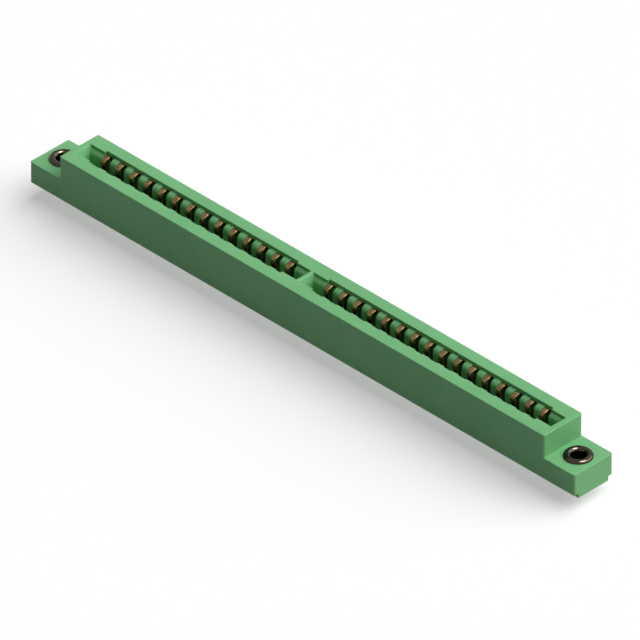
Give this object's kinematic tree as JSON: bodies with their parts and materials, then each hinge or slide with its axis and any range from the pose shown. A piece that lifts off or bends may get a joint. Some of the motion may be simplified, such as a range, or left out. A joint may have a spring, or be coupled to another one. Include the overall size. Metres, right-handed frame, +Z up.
{
  "type": "card edge connector",
  "caption": "Long green board-edge connector: a divided card slot between ribbed rows of looped spring contacts, solder tails below and a screw bushing in each end ear.",
  "frame": {"origin": "below the middle of the housing, in the plane of the solder tail tips", "axes": "+X along the connector towards the longer contact section, +Y across it, +Z up out of the card slot"},
  "size_m": [0.1512, 0.0108, 0.0137],
  "materials": {
    "housing_plastic": "moulded green thermoplastic, satin",
    "contact_metal": "gold-plated spring bronze",
    "bushing_metal": "polished nickel-plated brass"
  },
  "bodies": {
    "root": {"housing": "housing_plastic", "contact_pair_01": "contact_metal", "contact_pair_02": "contact_metal", "contact_pair_03": "contact_metal", "contact_pair_04": "contact_metal", "contact_pair_05": "contact_metal", "contact_pair_06": "contact_metal", "contact_pair_07": "contact_metal", "contact_pair_08": "contact_metal", "contact_pair_09": "contact_metal", "contact_pair_10": "contact_metal", "contact_pair_11": "contact_metal", "contact_pair_12": "contact_metal", "contact_pair_13": "contact_metal", "contact_pair_14": "contact_metal", "contact_pair_15": "contact_metal", "contact_pair_16": "contact_metal", "contact_pair_17": "contact_metal", "contact_pair_18": "contact_metal", "contact_pair_19": "contact_metal", "contact_pair_20": "contact_metal", "contact_pair_21": "contact_metal", "contact_pair_22": "contact_metal", "contact_pair_23": "contact_metal", "contact_pair_24": "contact_metal", "contact_pair_25": "contact_metal", "contact_pair_26": "contact_metal", "contact_pair_27": "contact_metal", "contact_pair_28": "contact_metal", "contact_pair_29": "contact_metal", "contact_pair_30": "contact_metal", "mounting_bushing_left": "bushing_metal", "mounting_bushing_right": "bushing_metal"}
  },
  "joints": []
}
